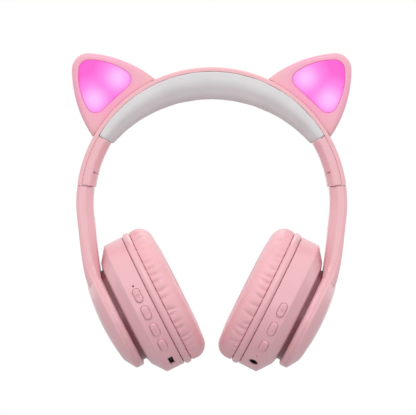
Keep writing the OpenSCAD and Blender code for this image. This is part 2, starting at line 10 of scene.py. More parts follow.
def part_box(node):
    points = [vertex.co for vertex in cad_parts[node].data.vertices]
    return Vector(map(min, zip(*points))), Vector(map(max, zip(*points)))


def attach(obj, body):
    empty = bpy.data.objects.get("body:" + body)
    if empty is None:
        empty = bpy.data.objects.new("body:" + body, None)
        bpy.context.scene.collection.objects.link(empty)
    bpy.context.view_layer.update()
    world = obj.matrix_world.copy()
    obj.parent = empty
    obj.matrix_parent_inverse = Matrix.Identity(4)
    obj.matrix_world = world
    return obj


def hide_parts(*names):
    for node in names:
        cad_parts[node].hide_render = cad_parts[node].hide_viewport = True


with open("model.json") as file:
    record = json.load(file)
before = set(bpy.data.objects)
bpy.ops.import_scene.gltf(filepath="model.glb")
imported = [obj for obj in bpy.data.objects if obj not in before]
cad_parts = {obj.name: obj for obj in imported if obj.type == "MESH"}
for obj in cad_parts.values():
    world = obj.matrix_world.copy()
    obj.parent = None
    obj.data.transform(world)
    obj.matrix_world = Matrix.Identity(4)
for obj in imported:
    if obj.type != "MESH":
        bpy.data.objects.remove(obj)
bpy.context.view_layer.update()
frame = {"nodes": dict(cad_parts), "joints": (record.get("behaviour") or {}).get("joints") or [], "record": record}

MM = 0.001
SIDES = {"left": -1, "right": 1}
JOINTS = {j["name"]: j for j in frame["joints"]}
NODES = frame["nodes"]

# ---------- the frame's own measures ----------
SHELL_LOW, SHELL_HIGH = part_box("headband_shell")
ARCH_R = 78.3 * MM                       # outside of the headband shell
ARCH_Z = SHELL_HIGH.z - ARCH_R           # centre of the arch
UP = Vector(JOINTS["swivel_right"]["axis"]).normalized()   # up the face of the right cup
CUP_AXIS = Vector((-UP.z, 0, UP.x))      # from the arm towards the ear
PIVOT_DEPTH = 24.6 * MM
CUP_ORIGIN = Vector(JOINTS["swivel_right"]["pos_m"]) + CUP_AXIS * PIVOT_DEPTH


def arch_point(side, radius, angle, y=0.0):
    """A point of the arch in the front view, its angle in degrees above horizontal."""
    a = math.radians(angle)
    return Vector((side * radius * math.cos(a), y, ARCH_Z + radius * math.sin(a)))


def cup_point(side, u, x, y=0.0):
    """A point given along a cup's axis (u), up its face (x) and front to back (y)."""
    p = CUP_ORIGIN + CUP_AXIS * u + UP * x
    return Vector((side * p.x, y, p.z))


def rim_point(side, angle, u, radius, along=0.0):
    """A point on a cup's rim, its angle in degrees down from the front; along runs down the rim."""
    a = math.radians(angle)
    x = -radius * math.sin(a) - along * math.cos(a)
    y = -radius * math.cos(a) + along * math.sin(a)
    return cup_point(side, u, x, y)


# ---------- mesh tools ----------
def build(name, verts, faces, sharp=40):
    """A smooth-shaded piece from points and faces, its normals turned outwards."""
    mesh = bpy.data.meshes.new(name)
    mesh.from_pydata([tuple(v) for v in verts], [], faces)
    bm = bmesh.new()
    bm.from_mesh(mesh)
    bmesh.ops.remove_doubles(bm, verts=bm.verts, dist=1e-6)
    bmesh.ops.recalc_face_normals(bm, faces=bm.faces)
    bm.to_mesh(mesh)
    bm.free()
    mesh.shade_smooth()
    mesh.set_sharp_from_angle(angle=math.radians(sharp))
    piece = bpy.data.objects.new(name, mesh)
    bpy.context.scene.collection.objects.link(piece)
    return piece


def loft(name, rings, closed=False, caps=True, sharp=40):
    """Skin between rings of equal length; closed joins the last ring to the first."""
    n = len(rings[0])
    verts = [p for ring in rings for p in ring]
    faces = []
    last = len(rings) if closed else len(rings) - 1
    for i in range(last):
        a, b = i * n, ((i + 1) % len(rings)) * n
        faces += [(a + k, a + (k + 1) % n, b + (k + 1) % n, b + k) for k in range(n)]
    if caps and not closed:
        faces.append(tuple(range(n - 1, -1, -1)))
        faces.append(tuple(range((len(rings) - 1) * n, len(rings) * n)))
    return build(name, verts, faces, sharp)


def curve(p0, p1, p2, p3, n):
    """A cubic from p0 to p3 that leaves towards p1 and arrives from p2."""
    out = []
    for i in range(n + 1):
        t = i / n
        s = 1 - t
        out.append(p0 * s**3 + p1 * (3 * s * s * t) + p2 * (3 * s * t * t) + p3 * t**3)
    return out


def round_corner(p0, p1, p2, r, n=5):
    """Points of an arc that rounds the corner p1 between p0 and p2, in a plane."""
    a, b = (Vector(p0) - Vector(p1)), (Vector(p2) - Vector(p1))
    r = min(r, 0.49 * a.length, 0.49 * b.length)
    a.normalize()
    b.normalize()
    q0, q2 = Vector(p1) + a * r, Vector(p1) + b * r
    steps = [i / n for i in range(n + 1)]
    return [q0 * (1 - t) ** 2 + Vector(p1) * (2 * t * (1 - t)) + q2 * t * t for t in steps]


def round_section(points, radii, n=5):
    """A closed section with its corners rounded; zero keeps a corner."""
    out = []
    for i, p in enumerate(points):
        if radii[i] == 0:
            out.append(Vector(p))
        else:
            out += round_corner(points[i - 1], p, points[(i + 1) % len(points)], radii[i], n)
    return out


def join(name, pieces):
    """Several meshes as one piece."""
    for p in bpy.context.selected_objects:
        p.select_set(False)
    for p in pieces:
        p.select_set(True)
    bpy.context.view_layer.objects.active = pieces[0]
    bpy.ops.object.join()
    pieces[0].name = name
    return pieces[0]


def apply_all(piece):
    """Turn a piece's modifiers into its mesh."""
    graph = bpy.context.evaluated_depsgraph_get()
    done = bpy.data.meshes.new_from_object(piece.evaluated_get(graph))
    piece.modifiers.clear()
    piece.data = done
    return piece


def united(name, pieces, sharp=40):
    """The boolean union of closed pieces, as one clean skin."""
    base = pieces[0]
    for other in pieces[1:]:
        mod = base.modifiers.new("union", "BOOLEAN")
        mod.operation = "UNION"
        mod.solver = "EXACT"
        mod.object = other
    apply_all(base)
    for other in pieces[1:]:
        bpy.data.objects.remove(other)
    base.name = name
    base.data.shade_smooth()
    base.data.set_sharp_from_angle(angle=math.radians(sharp))
    return base


def revolve_solid(side, section, steps=144):
    """A section from the axis out and back, turned into a closed solid."""
    section = [Vector(p) for p in section]
    axis = [i for i, p in enumerate(section) if abs(p.x) < 1e-6]
    first = axis[0]
    body = section[first:] + section[:first]
    inner = [p for p in body if abs(p.x) > 1e-6]
    ends = [body[0], next(p for p in reversed(body) if abs(p.x) < 1e-6)]
    verts = []
    for k in range(steps):
        a = 2 * math.pi * k / steps
        verts += [cup_point(side, p.y * MM, p.x * MM * math.cos(a), p.x * MM * math.sin(a)) for p in inner]
    n = len(inner)
    top, bottom = len(verts), len(verts) + 1
    verts += [cup_point(side, ends[0].y * MM, 0, 0), cup_point(side, ends[1].y * MM, 0, 0)]
    faces = []
    for k in range(steps):
        a, b = k * n, ((k + 1) % steps) * n
        faces += [(a + i, a + i + 1, b + i + 1, b + i) for i in range(n - 1)]
        faces.append((top, a, b))
        faces.append((bottom, b + n - 1, a + n - 1))
    return build("turned", verts, faces)


def resample(points, count):
    """A closed outline cut into equal steps."""
    points = [Vector(p) for p in points]
    spans = [(points[(i + 1) % len(points)] - p).length for i, p in enumerate(points)]
    total = sum(spans)
    out, i, gone = [], 0, 0.0
    for k in range(count):
        want = total * k / count
        while gone + spans[i] < want:
            gone += spans[i]
            i += 1
        t = (want - gone) / max(spans[i], 1e-9)
        out.append(points[i].lerp(points[(i + 1) % len(points)], t))
    return out


def arc2(centre, radius, a0, a1, n):
    """An arc in a plane, its angles in degrees."""
    out = []
    for i in range(n + 1):
        a = math.radians(a0 + (a1 - a0) * i / n)
        out.append(Vector((centre[0] + radius * math.cos(a), centre[1] + radius * math.sin(a))))
    return out


def cut(piece, tools, sharp=40):
    """Take closed shapes out of a piece."""
    for tool in tools:
        mod = piece.modifiers.new("cut", "BOOLEAN")
        mod.operation = "DIFFERENCE"
        mod.solver = "EXACT"
        mod.object = tool
    apply_all(piece)
    for tool in tools:
        bpy.data.objects.remove(tool)
    piece.data.shade_smooth()
    piece.data.set_sharp_from_angle(angle=math.radians(sharp))
    return piece


def world_box(side, x, y, z):
    """A box of front-view ranges in millimetres."""
    low, high = [[Vector((side * px * MM, py * MM, pz * MM)) for px, py in
                  ((x[0], y[0]), (x[1], y[0]), (x[1], y[1]), (x[0], y[1]))] for pz in z]
    return loft("tool", [low, high])


# ---------- materials ----------
def new_material(name):
    mat = bpy.data.materials.new(name)
    mat.use_nodes = True
    return mat, mat.node_tree, mat.node_tree.nodes["Principled BSDF"]


def node(tree, kind, **values):
    n = tree.nodes.new(kind)
    for key, value in values.items():
        if key in n.inputs:
            n.inputs[key].default_value = value
        else:
            setattr(n, key, value)
    return n


def noise_at(tree, scale, detail=3.0):
    coord = node(tree, "ShaderNodeTexCoord")
    tex = node(tree, "ShaderNodeTexNoise")
    tex.inputs["Scale"].default_value = scale
    tex.inputs["Detail"].default_value = detail
    tree.links.new(coord.outputs["Object"], tex.inputs["Vector"])
    return tex


def vary_colour(tree, shader, low, high, scale):
    tex = noise_at(tree, scale, 4.0)
    ramp = node(tree, "ShaderNodeValToRGB")
    ramp.color_ramp.elements[0].position = 0.35
    ramp.color_ramp.elements[1].position = 0.65
    ramp.color_ramp.elements[0].color = (*low, 1)
    ramp.color_ramp.elements[1].color = (*high, 1)
    tree.links.new(tex.outputs["Fac"], ramp.inputs["Fac"])
    tree.links.new(ramp.outputs["Color"], shader.inputs["Base Color"])


def vary_roughness(tree, shader, low, high, scale):
    tex = noise_at(tree, scale)
    span = node(tree, "ShaderNodeMapRange")
    span.inputs["To Min"].default_value = low
    span.inputs["To Max"].default_value = high
    tree.links.new(tex.outputs["Fac"], span.inputs["Value"])
    tree.links.new(span.outputs["Result"], shader.inputs["Roughness"])


def bump_from(tree, shader, height, strength, distance):
    bump = node(tree, "ShaderNodeBump")
    bump.inputs["Strength"].default_value = strength
    bump.inputs["Distance"].default_value = distance
    tree.links.new(height, bump.inputs["Height"])
    tree.links.new(bump.outputs["Normal"], shader.inputs["Normal"])


def shade(colour, factor):
    return tuple(min(1.0, c * factor) for c in colour)


def moulded(name, colour, rough, coat=0.0, grain=900.0, depth=0.00002, specular=0.5):
    """Moulded plastic: faint colour drift, uneven gloss and a fine spark-eroded grain."""
    mat, tree, shader = new_material(name)
    vary_colour(tree, shader, shade(colour, 0.985), shade(colour, 1.015), 38.0)
    vary_roughness(tree, shader, rough * 0.85, rough * 1.15, 120.0)
    bump_from(tree, shader, noise_at(tree, grain, 2.0).outputs["Fac"], 0.12, depth)
    shader.inputs["Coat Weight"].default_value = coat
    shader.inputs["Coat Roughness"].default_value = 0.12
    shader.inputs["Specular IOR Level"].default_value = specular
    return mat


def leatherette(name, colour, rough, pore_scale, depth):
    """Coated fabric: pores from a cell pattern, faint colour and gloss drift and a soft sheen."""
    mat, tree, shader = new_material(name)
    vary_colour(tree, shader, shade(colour, 0.97), shade(colour, 1.02), 55.0)
    vary_roughness(tree, shader, rough * 0.9, rough * 1.12, 90.0)
    coord = node(tree, "ShaderNodeTexCoord")
    cells = node(tree, "ShaderNodeTexVoronoi")
    cells.inputs["Scale"].default_value = pore_scale
    tree.links.new(coord.outputs["Object"], cells.inputs["Vector"])
    bump_from(tree, shader, cells.outputs["Distance"], 0.25, depth)
    shader.inputs["Sheen Weight"].default_value = 0.15
    shader.inputs["Sheen Roughness"].default_value = 0.5
    return mat


def woven(name, colour, scale):
    """Fine knitted mesh: two crossed waves."""
    mat, tree, shader = new_material(name)
    vary_colour(tree, shader, shade(colour, 0.9), shade(colour, 1.1), 300.0)
    vary_roughness(tree, shader, 0.75, 0.9, 200.0)
    coord = node(tree, "ShaderNodeTexCoord")
    heights = []
    for direction in ("Y", "Z"):
        wave = node(tree, "ShaderNodeTexWave")
        wave.bands_direction = direction
        wave.inputs["Scale"].default_value = scale
        tree.links.new(coord.outputs["Object"], wave.inputs["Vector"])
        heights.append(wave.outputs["Fac"])
    product = node(tree, "ShaderNodeMath")
    product.operation = "MULTIPLY"
    tree.links.new(heights[0], product.inputs[0])
    tree.links.new(heights[1], product.inputs[1])
    bump_from(tree, shader, product.outputs["Value"], 0.6, 0.0003)
    return mat


def metal(name, colour, rough):
    """Brushed metal: streaks drawn out along one axis."""
    mat, tree, shader = new_material(name)
    vary_colour(tree, shader, shade(colour, 0.95), shade(colour, 1.03), 60.0)
    coord = node(tree, "ShaderNodeTexCoord")
    stretch = node(tree, "ShaderNodeMapping")
    stretch.inputs["Scale"].default_value = (2500.0, 2500.0, 60.0)
    streaks = node(tree, "ShaderNodeTexNoise")
    streaks.inputs["Scale"].default_value = 1.0
    tree.links.new(coord.outputs["Object"], stretch.inputs["Vector"])
    tree.links.new(stretch.outputs["Vector"], streaks.inputs["Vector"])
    span = node(tree, "ShaderNodeMapRange")
    span.inputs["To Min"].default_value = rough * 0.8
    span.inputs["To Max"].default_value = rough * 1.3
    tree.links.new(streaks.outputs["Fac"], span.inputs["Value"])
    tree.links.new(span.outputs["Result"], shader.inputs["Roughness"])
    shader.inputs["Metallic"].default_value = 1.0
    return mat


def lit_lens(name, spots):
    """A diffuser lit from behind: pale violet over each light, deep magenta at the edges."""
    mat, tree, shader = new_material(name)
    coord = node(tree, "ShaderNodeTexCoord")
    nearest = None
    for spot in spots:
        gap = node(tree, "ShaderNodeVectorMath")
        gap.operation = "DISTANCE"
        gap.inputs[1].default_value = spot
        tree.links.new(coord.outputs["Object"], gap.inputs[0])
        if nearest is None:
            nearest = gap.outputs["Value"]
        else:
            low = node(tree, "ShaderNodeMath")
            low.operation = "SMOOTH_MIN"
            low.inputs[2].default_value = 0.004
            tree.links.new(nearest, low.inputs[0])
            tree.links.new(gap.outputs["Value"], low.inputs[1])
            nearest = low.outputs["Value"]
    span = node(tree, "ShaderNodeMapRange")
    span.inputs["From Min"].default_value = 0.002
    span.inputs["From Max"].default_value = 0.0155
    tree.links.new(nearest, span.inputs["Value"])
    ramp = node(tree, "ShaderNodeValToRGB")
    ramp.color_ramp.elements[0].color = (0.95, 0.48, 0.94, 1)
    ramp.color_ramp.elements[1].color = (0.95, 0.09, 0.6, 1)
    middle = ramp.color_ramp.elements.new(0.5)
    middle.color = (0.95, 0.21, 0.77, 1)
    tree.links.new(span.outputs["Result"], ramp.inputs["Fac"])
    tree.links.new(ramp.outputs["Color"], shader.inputs["Emission Color"])
    shader.inputs["Base Color"].default_value = (0.06, 0.01, 0.04, 1)
    vary_roughness(tree, shader, 0.3, 0.4, 80.0)
    shader.inputs["Emission Strength"].default_value = 0.97
    return mat


def lit_shell(name, centre):
    """Moulded plastic flushed by the light beside it."""
    mat = moulded(name, PINK, 0.36, coat=0.25, specular=0.6)
    tree, shader = mat.node_tree, mat.node_tree.nodes["Principled BSDF"]
    base = shader.inputs["Base Color"].links[0].from_socket
    coord = node(tree, "ShaderNodeTexCoord")
    gap = node(tree, "ShaderNodeVectorMath")
    gap.operation = "DISTANCE"
    gap.inputs[1].default_value = centre
    tree.links.new(coord.outputs["Object"], gap.inputs[0])
    span = node(tree, "ShaderNodeMapRange")
    span.inputs["From Min"].default_value = 0.014
    span.inputs["From Max"].default_value = 0.027
    span.inputs["To Min"].default_value = 0.6
    span.inputs["To Max"].default_value = 0.0
    tree.links.new(gap.outputs["Value"], span.inputs["Value"])
    mix = node(tree, "ShaderNodeMix")
    mix.data_type = "RGBA"
    mix.inputs[7].default_value = (0.84, 0.3, 0.5, 1)
    tree.links.new(span.outputs["Result"], mix.inputs[0])
    tree.links.new(base, mix.inputs[6])
    tree.links.new(mix.outputs[2], shader.inputs["Base Color"])
    shader.inputs["Emission Color"].default_value = (1.0, 0.2, 0.6, 1)
    dim = node(tree, "ShaderNodeMath")
    dim.operation = "MULTIPLY"
    dim.inputs[1].default_value = 0.07
    tree.links.new(span.outputs["Result"], dim.inputs[0])
    tree.links.new(dim.outputs["Value"], shader.inputs["Emission Strength"])
    return mat


def neck_shaded(name, side, shell):
    """The cup's finish with painted shade: deep red on the neck behind the back face, where the gap lies in
    shadow.
    """
    mat = moulded(name, PINK, 0.34, coat=0.3, specular=0.7)
    tree, shader = mat.node_tree, mat.node_tree.nodes["Principled BSDF"]
    base = shader.inputs["Base Color"].links[0].from_socket
    axis = Vector((side * CUP_AXIS.x, 0, CUP_AXIS.z))
    origin = Vector((side * CUP_ORIGIN.x, 0, CUP_ORIGIN.z))
    world = shell.matrix_world
    shift = axis.dot(world.translation - origin)
    coord = node(tree, "ShaderNodeTexCoord")
    dot = node(tree, "ShaderNodeVectorMath")
    dot.operation = "DOT_PRODUCT"
    dot.inputs[1].default_value = world.to_3x3().transposed() @ axis
    tree.links.new(coord.outputs["Object"], dot.inputs[0])
    depth = node(tree, "ShaderNodeMapRange")
    depth.inputs["From Min"].default_value = NECK_SHADE[0] * MM - shift
    depth.inputs["From Max"].default_value = NECK_SHADE[1] * MM - shift
    tree.links.new(dot.outputs["Value"], depth.inputs["Value"])
    # painted shade: the deep red is mixed over the neck
    mix = node(tree, "ShaderNodeMix")
    mix.data_type = "RGBA"
    mix.inputs[7].default_value = PAINTED_NECK_SHADE
    tree.links.new(depth.outputs["Result"], mix.inputs[0])
    tree.links.new(base, mix.inputs[6])
    tree.links.new(mix.outputs[2], shader.inputs["Base Color"])
    return mat


PINK = (0.81, 0.43, 0.47)
# deep red painted on the cup's neck as shade, where it falls into shadow behind the back face
PAINTED_NECK_SHADE = (0.2, 0.03, 0.045, 1)
NECK_SHADE = (-17.4, -18.7)              # along the cup's axis: where the painted shade starts and is full
MATS = {
    "pink_plastic": moulded("pink_plastic", PINK, 0.34, coat=0.3, specular=0.7),
    "pink_arm": moulded("pink_arm", PINK, 0.32, coat=0.35, specular=0.8),
    "button_plastic": moulded("button_plastic", shade(PINK, 0.97), 0.4),
    "pad_fabric": leatherette("pad_fabric", (0.68, 0.66, 0.67), 0.6, 1500.0, 0.0001),
    "cushion_leather": leatherette("cushion_leather", (0.84, 0.44, 0.48), 0.42, 1300.0, 0.0001),
    "speaker_cloth": woven("speaker_cloth", (0.62, 0.28, 0.33), 900.0),
    "steel": metal("steel", (0.62, 0.63, 0.65), 0.28),
    "circuit_board": moulded("circuit_board", (0.04, 0.2, 0.09), 0.35),
    "black_plastic": moulded("black_plastic", (0.012, 0.012, 0.014), 0.4),
    "dark_plastic": moulded("dark_plastic", (0.09, 0.09, 0.1), 0.5),
    "driver_paper": moulded("driver_paper", (0.6, 0.55, 0.45), 0.6),
    "battery_foil": metal("battery_foil", (0.6, 0.6, 0.62), 0.35),
    "led_plastic": moulded("led_plastic", (0.85, 0.85, 0.85), 0.2),
    "wire_rubber": moulded("wire_rubber", (0.02, 0.02, 0.02), 0.6),
    "ear_lens": moulded("ear_lens_plain", (1.0, 0.12, 0.65), 0.25),
}


def paint(piece, slot):
    """The slot's finish, on the piece."""
    piece.data.materials.clear()
    piece.data.materials.append(MATS[slot])


def paint_frame():
    """Every CAD node keeps its shape and takes its slot's finish; the cup shells get painted shade on their neck.
    """
    for row in frame["record"]["subparts"]:
        mesh = NODES[row["node"]].data
        if not mesh.materials:
            mesh.materials.append(None)
        for i in range(len(mesh.materials)):
            mesh.materials[i] = MATS[row["material_slot"]]
    for word, side in SIDES.items():
        shell = NODES["cup_shell_" + word]
        neck = neck_shaded("pink_plastic_painted_neck_shade_" + word, side, shell)
        for i in range(len(shell.data.materials)):
            shell.data.materials[i] = neck


def finish_piece(piece, body, slot, *nodes):
    """Paint a piece, hang it on its body and hide the CAD solids it stands for."""
    paint(piece, slot)
    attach(piece, body)
    if nodes:
        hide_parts(*nodes)
    return piece


# ---------- pieces that replace CAD solids ----------
# Headband pad: a foam roll under the arch, crowned across and rounded at both ends
PAD_TOP = 75.72
PAD_CURVE = 76.5
PAD_DROP = -16.5
PAD_HALF = 13.6
PAD_ENDS = (30.66, 149.34)


def pad_under(angle):
    """How far the pad's underside is from the arch's centre."""
    a = math.radians(angle)
    return PAD_DROP * math.sin(a) + math.sqrt(PAD_CURVE**2 - (PAD_DROP * math.cos(a)) ** 2)


def pad_ring(angle, inset):
    top, under = PAD_TOP - inset * 0.4, pad_under(angle) + inset
    half = PAD_HALF - inset
    tall = top - under
    front = [(top, -half + 0.3), (top - 0.42 * tall, -half)]
    front += [(under + 0.13 * tall, -half + 5.2), (under, 2.4 - 0.5 * half)]
    section = front + [(r, -y) for r, y in reversed(front)]
    soft = [0.5, 0.5 * tall, 0.3 * tall, 4.0]
    outline = round_section(section, soft + soft[::-1], 8)
    ring = []
    for r, y in resample(outline, 96):
        swell = 0.16 * noise.noise(Vector((angle * 0.16, y * 0.13, r * 0.2)))
        ring.append(arch_point(1, (r - swell) * MM, angle, y * MM))
    return ring


def make_pad():
    a0, a1 = PAD_ENDS
    ends = [(0.0, 1.3), (0.08, 0.8), (0.25, 0.45), (0.6, 0.2), (1.2, 0.06), (2.0, 0.0)]
    rings = [pad_ring(a0 + d, inset) for d, inset in ends]
    rings += [pad_ring(a0 + 2 + (a1 - a0 - 4) * i / 110, 0) for i in range(1, 110)]
    rings += [pad_ring(a1 - d, inset) for d, inset in reversed(ends)]
    pad = loft("pad", rings, sharp=70)
    finish_piece(pad, "headband", "pad_fabric", "headband_pad")


# Ear cushion: a ring of foam in a skin gathered along its base seam
FOLD_COUNT = 50
FOLD_DEPTH = 1.4


def cushion_outline():
    """From the base seam up the outside, over the crown and down into the opening."""
    turns = [math.pi / 2 * i / 16 for i in range(17)]
    crown = [Vector((32.4 + 8.5 * math.cos(a), 8.6 + 7.7 * math.sin(a))) for a in turns]
    skin = [Vector(p) for p in ((39.6, 5.32), (40.2, 4.98), (40.62, 5.3), (40.78, 6.4))] + crown
    skin += [Vector((28.0, 16.75)), Vector((24.6, 17.0))] + arc2((24.0, 12.0), 5.0, 90, 180, 8)
    return skin + arc2((20.5, 7.1), 1.5, 180, 270, 4)


def fold_plan(seed):
    """Each crease's place round the seam, its depth, its reach and its lean."""
    rng = random.Random(seed)
    places = [2 * math.pi * (i + rng.uniform(-0.24, 0.24)) / FOLD_COUNT for i in range(FOLD_COUNT)]
    return [(p, rng.uniform(0.55, 1.0), rng.uniform(3.4, 7.5), rng.uniform(-0.02, 0.02)) for p in places]


def fold_height(plan, phi, s):
    """Puffs between creases; each crease runs a different length out from the seam."""
    turn = 2 * math.pi
    phi %= turn
    best = []
    for place, depth, reach, lean in plan:
        gap = (phi - place - lean * s / 4 + math.pi) % turn - math.pi
        if abs(gap) < 0.2:
            fade = 1 / (1 + math.exp((s - reach) / 1.1))
            best.append(-depth * fade * math.exp(-((abs(gap) / 0.03) ** 1.3)))
    return min(best + [0.0]) + 0.4 / (1 + math.exp((s - 6.5) / 1.6))


def make_cushion(name, side, seed):
    plan = fold_plan(seed)
    outline = resample(cushion_outline(), 150)
    step = (outline[1] - outline[0]).length
    normals = []
    for i, p in enumerate(outline):
        along = outline[(i + 1) % len(outline)] - outline[i - 1]
        normals.append(Vector((along.y, -along.x)).normalized())
    rings = []
    steps = 720
    for k in range(steps):
        phi = 2 * math.pi * k / steps
        ring = []
        for i, p in enumerate(outline):
            s = i * step
            lift = 0.0
            if s < 16:
                lift = FOLD_DEPTH * fold_height(plan, phi, s) * min(1, s / 0.8)
            if 7 < p.y:
                soft = noise.noise(Vector((math.cos(phi) * 4, math.sin(phi) * 4, s * 0.12 + seed)))
                lift += 0.14 * soft
            way = Vector((normals[i].x, max(normals[i].y, 0))) if s < 4 else normals[i]
            q = p + way * lift
            ring.append(cup_point(side, q.y * MM, q.x * MM * math.cos(phi), q.x * MM * math.sin(phi)))
        rings.append(ring)
    cushion = loft(name, rings, closed=True, sharp=75)
    body = "cup_left" if side < 0 else "cup_right"
    finish_piece(cushion, body, "cushion_leather", name.replace("cushion", "ear_cushion"))


def make_speaker_cloth(name, side):
    """A flat disc of knitted mesh held at its rim, sagging a little towards the driver."""
    rim = 29.5
    verts, faces = [cup_point(side, 4.95 * MM, 0, 0)], []
    rows, steps = 14, 96
    for i in range(1, rows + 1):
        r = rim * i / rows
        u = 5.25 - 0.3 * math.cos(math.pi * r / rim / 2) ** 2
        for k in range(steps):
            a = 2 * math.pi * k / steps
            verts.append(cup_point(side, u * MM, r * MM * math.cos(a), r * MM * math.sin(a)))
    for k in range(steps):
        faces.append((0, 1 + k, 1 + (k + 1) % steps))
    for i in range(rows - 1):
        for k in range(steps):
            a, b = 1 + i * steps, 1 + (i + 1) * steps
            n = (k + 1) % steps
            faces.append((a + k, b + k, b + n, a + n))
    cloth = build(name, verts, faces)
    finish_piece(cloth, "cup_left" if side < 0 else "cup_right", "speaker_cloth", name)


# Buttons: pill caps that follow the rim, each with a small raised mark
BUTTON_L = 8.6
BUTTON_W = 4.3
BUTTON_TOP = 42.15


def pill_outline(inset, n=14):
    r = BUTTON_W / 2 - inset
    reach = (BUTTON_L - BUTTON_W) / 2
    return arc2((reach, 0), r, -90, 90, n) + arc2((-reach, 0), r, 90, 270, n)


def bar(cx, cy, w, h):
    left, right, low, high = cx - w / 2, cx + w / 2, cy - h / 2, cy + h / 2
    return [(left, low), (right, low), (right, high), (left, high)]


def wedge(cx, cy, size):
    return [(cx - size / 2, cy), (cx + size / 2, cy - size / 2), (cx + size / 2, cy + size / 2)]


RING_TURNS = [math.radians(d) for d in range(30, 340, 14)]
RING = [bar(0.85 * math.cos(a), 0.85 * math.sin(a), 0.34, 0.34) for a in RING_TURNS]
MARKS = {
    "power": RING + [bar(0.6, 0, 1.0, 0.3)],
    "plus": [bar(0, 0, 1.9, 0.42), bar(0, 0, 0.42, 1.9)],
    "back": [wedge(-0.7, 0, 1.3), wedge(0.6, 0, 1.3)],
    "minus": [bar(0, 0, 1.9, 0.42)],
    "play": [wedge(0, 0, 1.8)],
    "ring": RING,
}


# side, place along the cup's axis, and each button's angle and mark
BUTTONS = (
    ("left", -5.9, ((-9.3, "power"), (6, "plus"), (21.8, "back"), (38, "minus"))),
    ("right", -7.7, ((2.5, "ring"), (20, "play"), (38, "plus"))),
)


def make_button(name, side, angle, u, mark):
    def place(t, v, r):
        return rim_point(side, angle, (u + v) * MM, r * MM, t * MM)

    def top(t, v, drop):
        swell = 0.12 * (1 - (v / (BUTTON_W / 2)) ** 2)
        return math.sqrt((BUTTON_TOP + swell - 0.12) ** 2 - t * t) - drop

    skirt = ((-0.16, 38.6), (-0.16, 40.3), (0, 40.5))
    crown = ((0, 1.1), (0.03, 0.85), (0.13, 0.55), (0.32, 0.28),
             (0.58, 0.1), (0.9, 0.02), (1.4, 0.0), (1.9, 0.0))
    rings = [[place(t, v, r) for t, v in pill_outline(inset)] for inset, r in skirt]
    for inset, drop in crown:
        rings.append([place(t, v, top(t, v, drop)) for t, v in pill_outline(inset)])
    parts = [loft(name, rings, sharp=50)]
    for shape in MARKS[mark]:
        parts.append(loft("mark", [[place(t, v, top(t, v, 0.1)) for t, v in shape],
                                   [place(t * 0.94, v * 0.94, top(t, v, -0.2)) for t, v in shape]], sharp=30))
    body = name.replace("cap_", "button_")
    finish_piece(join(name, parts), body, "button_plastic", body)


# Arms: a strap lofted along the arch, united with the cup's disc, in an inner tray and an outer lid
SEAM_START = 7.58                        # angles on the arch
ARC_END = -7.0
INNER_R = 68.5
BAND_R = 78.3
LID_R = 76.9
DISC_R = 31.0
DISC_PART = -24.2                        # where tray and lid meet, along the cup's axis
STRAP_HALF = 12.0


def front_arch(r, angle):
    """A point of the arch in the front view, in millimetres."""
    a = math.radians(angle)
    return Vector((r * math.cos(a), ARCH_Z / MM + r * math.sin(a)))


def front_cup(u, x):
    """A point of the right cup in the front view, in millimetres."""
    p = CUP_ORIGIN + CUP_AXIS * u * MM + UP * x * MM
    return Vector((p.x, p.z)) / MM


def down(angle):
    a = math.radians(angle)
    return Vector((math.sin(a), -math.cos(a)))


DOWN_CUP = Vector((-UP.x, -UP.z))
AWAY_CUP = Vector((-CUP_AXIS.x, -CUP_AXIS.z))


def strap_line(r, h0, end, h1, tail, lean=0.0):
    """Down the arch, over to the cup's plane, and straight on into the disc."""
    settle = (DOWN_CUP + AWAY_CUP * lean).normalized()
    line = [front_arch(r, SEAM_START + (ARC_END - SEAM_START) * i / 8) for i in range(8)]
    p0, p3 = front_arch(r, ARC_END), front_cup(*end)
    line += curve(p0, p0 + down(ARC_END) * h0, p3 - settle * h1, p3, 26)
    return line + [p3 + DOWN_CUP * tail * i / 3 for i in range(1, 4)]


def crossing(a, b, line):
    """Where the segment a-b meets a polyline, as a distance from a."""
    d = b - a
    for p, q in zip(line, line[1:]):
        e = q - p
        den = d.x * e.y - d.y * e.x
        if abs(den) < 1e-9:
            continue
        t = ((p.x - a.x) * e.y - (p.y - a.y) * e.x) / den
        s = ((p.x - a.x) * d.y - (p.y - a.y) * d.x) / den
        if -0.01 <= s <= 1.01 and 0 < t < 1:
            return t * d.length
    return 0.8 * d.length


def strap_half(point):
    """Half the strap's width, flaring where it runs into the disc."""
    x = (point - front_cup(0, 0)).dot(-DOWN_CUP)
    t = min(1.0, max(0.0, (58 - x) / 34))
    return STRAP_HALF + 7.6 * t**5.5


def strap_stations():
    """Rows down the strap: inner point, way out, full depth, depth of the part line, half width."""
    inner = strap_line(INNER_R, 12, (-20.75, 24), 10, 10, 0.25)
    outer = strap_line(BAND_R, 13, (-29.6, 23), 9, 9)
    part = strap_line(LID_R, 10, (DISC_PART, 31.5), 8, 26)
    rows = []
    for a, b in zip(inner, outer):
        rows.append((a, (b - a).normalized(), (b - a).length, crossing(a, b, part), strap_half((a + b) / 2)))
    return rows


def place_ring(side, a, d, ring, shift=0.0, sag=0.0):
    """A flat ring set across the strap, moved down it and dipped in the middle."""
    along = Vector((d.y, -d.x))
    out = []
    low, high = min(p[0] for p in ring), max(p[0] for p in ring)
    for v, y in ring:
        dip = sag * math.sin(math.pi * min(1, 1.25 * (high - v) / (high - low)))
        p = a + d * v + along * (shift + dip)
        out.append(Vector((side * p.x * MM, y * MM, p.y * MM)))
    return out


def shrunk(ring, amount):
    cx = sum(p[0] for p in ring) / len(ring)
    wide = max(abs(p[0] - cx) for p in ring)
    tall = max(abs(p[1]) for p in ring)
    return [(cx + (v - cx) * (1 - amount / wide), y * (1 - amount / tall)) for v, y in ring]


